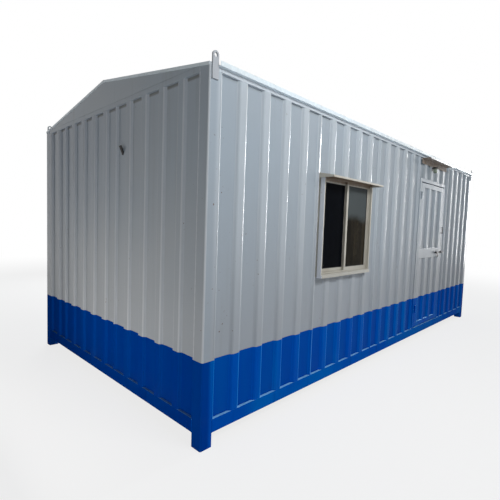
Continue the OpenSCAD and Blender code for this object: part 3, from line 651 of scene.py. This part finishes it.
# Edges sharper than this angle are rolled, where both faces are this many radii wide; on posts only long ones
bendCare = {"sharp": 18, "least": 2.4, "segments": 3, "shade": 32, "postEdge": 1.0}


# Folded and welded steel has rounded bends: a copy of the node with its bends rolled
def rollBends(node, finish, kind, shortest=0.0):
    radius = bendRadius[kind]
    bm = copyNode(node)
    bends = []
    for edge in bm.edges:
        if len(edge.link_faces) == 2 and edge.calc_face_angle() > radians(bendCare["sharp"]):
            width = min(2 * face.calc_area() / face.calc_perimeter() for face in edge.link_faces)
            if width > bendCare["least"] * radius and edge.calc_length() > shortest:
                bends.append(edge)
    bmesh.ops.bevel(bm, geom=bends, offset=radius, offset_type="OFFSET", affect="EDGES",
                    segments=bendCare["segments"], profile=0.5, material=-1, clamp_overlap=True)
    addPiece(bm, node + ".rolled", finish, bodyOf(node), [node], bendCare["shade"])


wallNodes = ("front_wall_left", "front_wall_under_window", "front_wall_over_window", "front_wall_middle",
             "front_wall_over_door", "front_wall_right", "back_wall", "left_end_wall", "right_end_wall")
for node in wallNodes:
    rollBends(node, "wall_paint", "sheet")
rollBends("bottom_rails_long", "blue_paint", "rail")
rollBends("bottom_rails_short", "blue_end", "rail")
for node in ("top_rails_long", "top_rails_short", "gable_plates"):
    rollBends(node, "wall_paint", "trim")
rollBends("corner_posts", "wall_paint", "post", shortest=bendCare["postEdge"])
for node in ("roof_front", "roof_back", "ridge_cap"):
    rollBends(node, "roof_paint", "sheet")
for node in ("eave_trims", "barge_trims"):
    rollBends(node, "trim_paint", "small")
rollBends("lifting_lugs", "lug_paint", "small")
for node in ("door_jambs", "door_head", "door_leaf_frame", "door_panels", "door_inner_skin"):
    rollBends(node, "door_paint", "leaf")
rollBends("window_frame", "window_paint", "frame")
rollBends("window_hood", "cream_paint", "hood")
for node in ("window_track", "window_sashes"):
    rollBends(node, "window_alloy", "small")
for node in ("hinge_jamb_halves", "hinge_door_halves"):
    rollBends(node, "wall_paint", "fitting")
for node in ("bolt_guides", "bolt_keeper", "door_pull"):
    rollBends(node, "bolt_iron", "fitting")
rollBends("door_canopy", "canopy_steel", "small")
print("bends rolled")


def chamfer(bm, edges, width):
    bmesh.ops.bevel(bm, geom=edges, offset=width, offset_type="OFFSET", affect="EDGES", segments=1,
                    profile=0.5, material=-1)


# The two panes of the window, each with its own tint
paneSize = {"chamfer": 0.0006, "sharp": 1.0}  # metres, radians
glassLow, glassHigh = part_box("window_glass")


def addPane(name, finish, side):
    bm = copyNode("window_glass", joinFlat=False)
    middle = (glassLow.x + glassHigh.x) / 2
    other = [face for face in bm.faces if (face.calc_center_median().x - middle) * side < 0]
    bmesh.ops.delete(bm, geom=other, context="FACES")
    rim = [edge for edge in bm.edges if edge.calc_face_angle(0) > paneSize["sharp"]]
    chamfer(bm, rim, paneSize["chamfer"])
    addPiece(bm, name, finish, "cabin", ["window_glass"])


addPane("pane.inner", "inner_pane", -1)
addPane("pane.outer", "outer_pane", 1)


# Fine work: beads, screws, gaskets and strips, each kind in one mesh
fineWork = {"boxChamfer": 0.0006, "rodSides": 10, "nutSides": 6, "shade": 40, "beadShade": 50}


def edgesOf(verts):
    return list(dict.fromkeys(edge for vert in verts for edge in vert.link_edges))


def addBox(bm, low, high):
    low, high = Vector(low), Vector(high)
    size = Matrix.Diagonal((*(high - low), 1))
    made = bmesh.ops.create_cube(bm, size=1, matrix=Matrix.Translation((low + high) / 2) @ size)
    chamfer(bm, edgesOf(made["verts"]), fineWork["boxChamfer"])


def addRod(bm, at, way, radius, length, tip=1.0, sides=fineWork["rodSides"]):
    turn = Vector(way).to_track_quat("Z", "Y").to_matrix().to_4x4()
    middle = Vector(at) + Vector(way).normalized() * length / 2
    bmesh.ops.create_cone(bm, cap_ends=True, segments=sides, radius1=radius, radius2=radius * tip,
                          depth=length, matrix=Matrix.Translation(middle) @ turn)


# A rippled bead along a joint, partly sunk in the plates it joins
def addBead(bm, start, end, bead):
    way = Vector(end) - Vector(start)
    length = way.length
    count = max(3, round(length / bead["pitch"]))
    before = len(bm.verts)
    made = bmesh.ops.create_cone(bm, cap_ends=True, segments=bead["sides"], radius1=bead["radius"],
                                 radius2=bead["radius"], depth=length)
    upright = [edge for edge in edgesOf(made["verts"])
               if abs(edge.verts[0].co.z - edge.verts[1].co.z) > length / 2]
    bmesh.ops.subdivide_edges(bm, edges=upright, cuts=count - 1)
    bm.verts.ensure_lookup_table()
    verts = bm.verts[before:]  # new ones come last
    narrow = [vert for vert in verts if round((vert.co.z / length + 0.5) * count) % 2]
    bmesh.ops.scale(bm, verts=narrow, vec=(1 - bead["ripple"], 1 - bead["ripple"], 1))
    turn = way.to_track_quat("Z", "Y").to_matrix().to_4x4() @ Matrix.Rotation(radians(90), 4, "Z")
    bmesh.ops.transform(bm, verts=verts, matrix=Matrix.Translation(Vector(start) + way / 2) @ turn)


# Lowest and highest corner of each separate solid in a node
def islandBoxes(node):
    bm = copyNode(node, joinFlat=False)
    seen, boxes = set(), []
    for first in bm.verts:
        if first in seen:
            continue
        seen.add(first)
        waiting, island = [first], []
        while waiting:
            vert = waiting.pop()
            island.append(vert.co)
            for edge in vert.link_edges:
                other = edge.other_vert(vert)
                if other not in seen:
                    seen.add(other)
                    waiting.append(other)
        boxes.append((Vector(map(min, zip(*island))), Vector(map(max, zip(*island)))))
    bm.free()
    return boxes


# Weld beads where the rails meet the posts, where the lugs sit on them and where the sheets end at the posts
beads = {
    "rail": {"radius": 0.0042, "pitch": 0.007, "ripple": 0.28, "sides": 6},
    "lug": {"radius": 0.0048, "pitch": 0.007, "ripple": 0.28, "sides": 6},
    "seam": {"radius": 0.0105, "pitch": 0.03, "ripple": 0.05, "sides": 10},
}
weld = {"postWidth": 0.100, "endGap": 0.004, "lugGap": 0.002, "sunk": beads["seam"]["radius"] * 0.80}
bottomBox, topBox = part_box("bottom_rails_long"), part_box("top_rails_long")
bottomRail, topRail = (bottomBox[0].z, bottomBox[1].z), (topBox[0].z, topBox[1].z)


# Upright beads on both sides of each corner, a post's width along and some way in
def addCornerBeads(bm, low, high, inset, bead):
    for x, inX in ((wallFaces["left"], 1), (wallFaces["right"], -1)):
        for y, inY in ((wallFaces["front"], 1), (wallFaces["back"], -1)):
            for stepX, stepY in ((weld["postWidth"], inset), (inset, weld["postWidth"])):
                spot = (x + inX * stepX, y + inY * stepY)
                addBead(bm, (*spot, low), (*spot, high), bead)


bm = bmesh.new()
addCornerBeads(bm, bottomRail[0] + weld["endGap"], bottomRail[1] - weld["endGap"], 0, beads["rail"])
addPiece(bm, "weldBeads.blue_paint", "blue_paint", "cabin", shade=fineWork["beadShade"])
bm = bmesh.new()
addCornerBeads(bm, topRail[0] + weld["endGap"], topRail[1] - weld["endGap"], 0, beads["rail"])
addCornerBeads(bm, bottomRail[1], topRail[0], weld["sunk"], beads["seam"])
for low, high in islandBoxes("lifting_lugs"):
    y = wallFaces["front"] if low.y < 0 else wallFaces["back"]
    for x in (low.x, high.x):
        addBead(bm, (x, y, low.z + weld["lugGap"]), (x, y, topRail[1] - weld["endGap"]), beads["lug"])
    addBead(bm, (low.x + weld["endGap"], y, low.z), (high.x - weld["endGap"], y, low.z), beads["lug"])
addPiece(bm, "weldBeads.wall_paint", "wall_paint", "cabin", shade=fineWork["beadShade"])

# Roof screws with washers on every crest, in three rows a slope
roofScrew = {"rows": (0.06, 0.50, 0.80), "washer": 0.011, "washerRise": 0.002, "head": 0.0055,
             "headRise": 0.006, "up": 0.95, "level": 0.01, "crestDrop": 0.004}
bm = bmesh.new()
for node in ("roof_front", "roof_back"):
    sheet = copyNode(node)
    sheet.normal_update()
    flat = [face for face in sheet.faces
            if face.normal.z > roofScrew["up"] and abs(face.normal.x) < roofScrew["level"]]
    top = max(face.calc_center_median().z for face in flat)
    for face in flat:
        if face.calc_center_median().z < top - roofScrew["crestDrop"]:
            continue
        corners = [vert.co for vert in face.verts]
        eave = min(corners, key=lambda corner: corner.z)
        ridge = max(corners, key=lambda corner: corner.z)
        x = (min(corner.x for corner in corners) + max(corner.x for corner in corners)) / 2
        for row in roofScrew["rows"]:
            spot = eave.lerp(ridge, row)
            spot.x = x
            addRod(bm, spot, face.normal, roofScrew["washer"], roofScrew["washerRise"])
            addRod(bm, spot + face.normal * roofScrew["washerRise"], face.normal, roofScrew["head"],
                   roofScrew["headRise"], sides=fineWork["nutSides"])
    sheet.free()
addPiece(bm, "roofScrews", "zinc", "cabin", shade=fineWork["shade"])

# Rivets along the eave trims
rivet = {"pitch": 0.61, "radius": 0.006, "rise": 0.002, "tip": 0.5}
trimLow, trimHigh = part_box("eave_trims")
bm = bmesh.new()
count = round((trimHigh.x - trimLow.x) / rivet["pitch"])
for index in range(count):
    x = trimLow.x + (index + 0.5) * (trimHigh.x - trimLow.x) / count
    for y, way in ((trimLow.y, -1), (trimHigh.y, 1)):
        spot = (x, y, (trimLow.z + trimHigh.z) / 2)
        addRod(bm, spot, (0, way, 0), rivet["radius"], rivet["rise"], rivet["tip"])
addPiece(bm, "trimRivets", "trim_paint", "cabin", shade=fineWork["shade"])

# Rubber gaskets round both panes, on the outside and the room side
gasketSize = {"wide": 0.006, "thick": 0.003}
wide, thick = gasketSize["wide"], gasketSize["thick"]
bm = bmesh.new()
for low, high in islandBoxes("window_glass"):
    for front, back in ((low.y - thick, low.y), (high.y, high.y + thick)):
        addBox(bm, (low.x, front, low.z), (low.x + wide, back, high.z))
        addBox(bm, (high.x - wide, front, low.z), (high.x, back, high.z))
        addBox(bm, (low.x + wide, front, low.z), (high.x - wide, back, low.z + wide))
        addBox(bm, (low.x + wide, front, high.z - wide), (high.x - wide, back, high.z))
addPiece(bm, "paneGaskets", "gasket", "cabin")

# Raised screw heads on the two largest front faces of each set of hinge plates
hingeScrew = {"radius": 0.0045, "rise": 0.0012, "tip": 0.7, "levels": (0.14, 0.5, 0.86), "front": -0.95,
              "plates": 2}
for node in ("hinge_jamb_halves", "hinge_door_halves"):
    plate = copyNode(node)
    plate.normal_update()
    fronts = [face for face in plate.faces if face.normal.y < hingeScrew["front"]]
    fronts.sort(key=lambda face: -face.calc_area())
    bm = bmesh.new()
    for face in fronts[:hingeScrew["plates"]]:
        heights = [vert.co.z for vert in face.verts]
        low, high = min(heights), max(heights)
        middle = face.calc_center_bounds()
        for level in hingeScrew["levels"]:
            spot = (middle.x, middle.y, low + (high - low) * level)
            addRod(bm, spot, (0, -1, 0), hingeScrew["radius"], hingeScrew["rise"], hingeScrew["tip"])
    plate.free()
    addPiece(bm, node + ".screws", "wall_paint", bodyOf(node), shade=fineWork["shade"])

# Skirting and cover strips inside
inside = {"skirtHigh": 0.070, "stripWide": 0.045, "thick": 0.0026, "pitch": 1.18}
floorTop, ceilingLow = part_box("floor_board")[1].z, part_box("ceiling")[0].z
liningBox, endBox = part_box("front_lining"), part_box("end_linings")
liningThick = liningBox[1].y - liningBox[0].y
roomLow = Vector((endBox[0].x + liningThick, liningBox[1].y, floorTop))
roomHigh = Vector((endBox[1].x - liningThick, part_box("back_lining")[0].y, ceilingLow))
doorLow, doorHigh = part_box("door_jambs")
thick, skirt, half = inside["thick"], floorTop + inside["skirtHigh"], inside["stripWide"] / 2
bm = bmesh.new()
addBox(bm, (roomLow.x, roomHigh.y - thick, floorTop), (roomHigh.x, roomHigh.y, skirt))
addBox(bm, (roomLow.x, roomLow.y, floorTop), (roomLow.x + thick, roomHigh.y - thick, skirt))
addBox(bm, (roomHigh.x - thick, roomLow.y, floorTop), (roomHigh.x, roomHigh.y - thick, skirt))
addBox(bm, (roomLow.x + thick, roomLow.y, floorTop), (doorLow.x, roomLow.y + thick, skirt))
addBox(bm, (doorHigh.x, roomLow.y, floorTop), (roomHigh.x - thick, roomLow.y + thick, skirt))
count = round((roomHigh.x - roomLow.x) / inside["pitch"])
for index in range(1, count):
    x = roomLow.x + index * (roomHigh.x - roomLow.x) / count
    addBox(bm, (x - half, roomHigh.y - thick, skirt), (x + half, roomHigh.y, ceilingLow - thick))
    addBox(bm, (x - half, roomLow.y, ceilingLow - thick), (x + half, roomHigh.y, ceilingLow))
y = (roomLow.y + roomHigh.y) / 2
for near, far in ((roomLow.x, roomLow.x + thick), (roomHigh.x - thick, roomHigh.x)):
    addBox(bm, (near, y - half, skirt), (far, y + half, ceilingLow))
addPiece(bm, "coverStrips", "strip_wood", "cabin")
print("fine work added")

# Nodes whose shape is right as it is
plainFinish = {
    "floor_joists": "blue_paint", "floor_board": "floor_board", "front_lining": "lining_board",
    "back_lining": "lining_board", "end_linings": "lining_board", "ceiling": "lining_board",
    "door_bolt": "bolt_iron", "lamp_holder": "black_plastic", "lamp_globe": "lamp_glass",
    "cable_inlet": "black_plastic",
}
for node, finish in plainFinish.items():
    held = frame["nodes"][node]
    held.data.materials.clear()
    held.data.materials.append(finishes[finish])

# Floor and world: both white to the camera, mirrors and glass, with the floor keeping the shadow close by
stageLook = {
    "floorSize": 60.0, "floor": rgb(0.80, 0.81, 0.82), "nearGlow": 0.78, "glowReach": (5.0, 14.0),
    "white": rgb(1, 1, 1), "black": rgb(0, 0, 0), "skyHigh": rgb(0.86, 0.93, 1.0),
    "skyLow": rgb(0.92, 0.92, 0.90), "skyRise": (-0.1, 0.6), "skyWidth": (-0.7, 0.5),
    "skyShare": (0.1, 1.0), "skyStrength": 0.25,
}


def lookedAt(place):
    camera, mirror, glass = (place.node("ShaderNodeLightPath", out=kind)
                             for kind in ("Is Camera Ray", "Is Glossy Ray", "Is Transmission Ray"))
    return place.math("MINIMUM", camera + mirror + glass, 1.0)


floorShape = bmesh.new()
bmesh.ops.create_grid(floorShape, x_segments=1, y_segments=1, size=stageLook["floorSize"])
floorMesh = bpy.data.meshes.new("floor")
floorShape.to_mesh(floorMesh)
floorShape.free()
floor = bpy.data.objects.new("floor", floorMesh)
scene.collection.objects.link(floor)
studioFloor, place = startMaterial("studioFloor")
away = place.node("ShaderNodeVectorMath", {"operation": "LENGTH"}, {0: place}, "Value")
share = lookedAt(place) * away.step(*stageLook["glowReach"]).ease(stageLook["nearGlow"], 1.0)
matt = place.node("ShaderNodeBsdfDiffuse", None, {"Color": stageLook["floor"]})
glow = place.node("ShaderNodeEmission", None, {"Color": stageLook["white"], "Strength": 1.0})
closeMaterial(studioFloor, place.node("ShaderNodeMixShader", None, {0: share, 1: matt, 2: glow}))
floorMesh.materials.append(studioFloor)

world = bpy.data.worlds.new("studio")
scene.world = world
world.use_nodes = True
world.node_tree.nodes.clear()
around = Wire(world.node_tree).node("ShaderNodeTexCoord", out="Generated")
skyColour = around.part(2).step(*stageLook["skyRise"]).blend(stageLook["skyLow"], stageLook["skyHigh"])
lit = around.part(0).step(*stageLook["skyWidth"]).ease(*stageLook["skyShare"])
skyColour = lit.blend(stageLook["black"], skyColour)
sky = around.node("ShaderNodeBackground", None, {"Color": skyColour, "Strength": stageLook["skyStrength"]})
white = around.node("ShaderNodeBackground", None, {"Color": stageLook["white"], "Strength": 1.0})
both = around.node("ShaderNodeMixShader", None, {0: lookedAt(around), 1: sky, 2: white})
around.node("ShaderNodeOutputWorld", None, {"Surface": both})

# Soft panels: one over the front, one low beside the plain end, one behind the camera, one for the back,
# and a tall one far off along the front, which draws the bright lines on the crests
softPanels = [
    {"name": "highPanel", "at": (-2.0, -4.4, 3.6), "to": (-1.1, -1.46, 2.2), "size": (2.6, 0.8), "power": 76},
    {"name": "lowPanel", "at": (-4.2, -0.35, 0.45), "to": (-3.04, -0.35, 0.90), "size": (2.4, 0.4),
     "power": 8.5, "colour": (1.0, 0.95, 0.88)},
    {"name": "fillPanel", "at": (-6.8, -5.8, 2.2), "to": (-2.2, -0.9, 1.3), "size": (2.0, 2.0), "power": 46},
    {"name": "backPanel", "at": (0.5, 6.5, 3.4), "to": (0.0, 1.58, 1.3), "size": (4.0, 1.5), "power": 190},
    {"name": "tallPanel", "at": (18.0, -2.9, 3.5), "to": (0.0, -2.2, 1.5), "size": (2.8, 7.0), "power": 1600,
     "shine": True},
]
for panel in softPanels:
    panelLamp = bpy.data.lights.new(panel["name"], "AREA")
    panelLamp.shape = "RECTANGLE"
    panelLamp.size, panelLamp.size_y = panel["size"]
    panelLamp.energy = panel["power"]
    panelLamp.color = panel.get("colour", (1, 1, 1))
    lampObject = bpy.data.objects.new(panel["name"], panelLamp)
    aim = (Vector(panel["at"]) - Vector(panel["to"])).to_track_quat("Z", "Y").to_matrix().to_4x4()
    lampObject.matrix_world = Matrix.Translation(panel["at"]) @ aim
    lampObject.visible_camera = False
    lampObject.visible_glossy = panel.get("shine", False)
    scene.collection.objects.link(lampObject)

# Camera place and turn, found from the straight edges of the cabin in the photograph
cameraSet = {"place": (-4.59941, -3.3784, 1.5593), "yaw": 45.9533, "pitch": -3.8608, "roll": 1.9554,
             "focal": 374.3957, "frameWidth": 500, "sensor": 36.0}
yaw, pitch, roll = (radians(cameraSet[key]) for key in ("yaw", "pitch", "roll"))
ahead = Vector((sin(yaw) * cos(pitch), cos(yaw) * cos(pitch), sin(pitch)))
level = Vector((cos(yaw), -sin(yaw), 0))
rise = level.cross(ahead)
right = cos(roll) * level + sin(roll) * rise
up = cos(roll) * rise - sin(roll) * level
lens = bpy.data.cameras.new("camera")
lens.sensor_fit = "HORIZONTAL"
lens.sensor_width = cameraSet["sensor"]
lens.lens = cameraSet["focal"] / cameraSet["frameWidth"] * cameraSet["sensor"]
camera = bpy.data.objects.new("camera", lens)
turn = Matrix((right, up, -ahead)).transposed().to_4x4()
camera.matrix_world = Matrix.Translation(cameraSet["place"]) @ turn
scene.collection.objects.link(camera)
scene.camera = camera
scene.view_settings.view_transform = "Standard"
print("stage set")
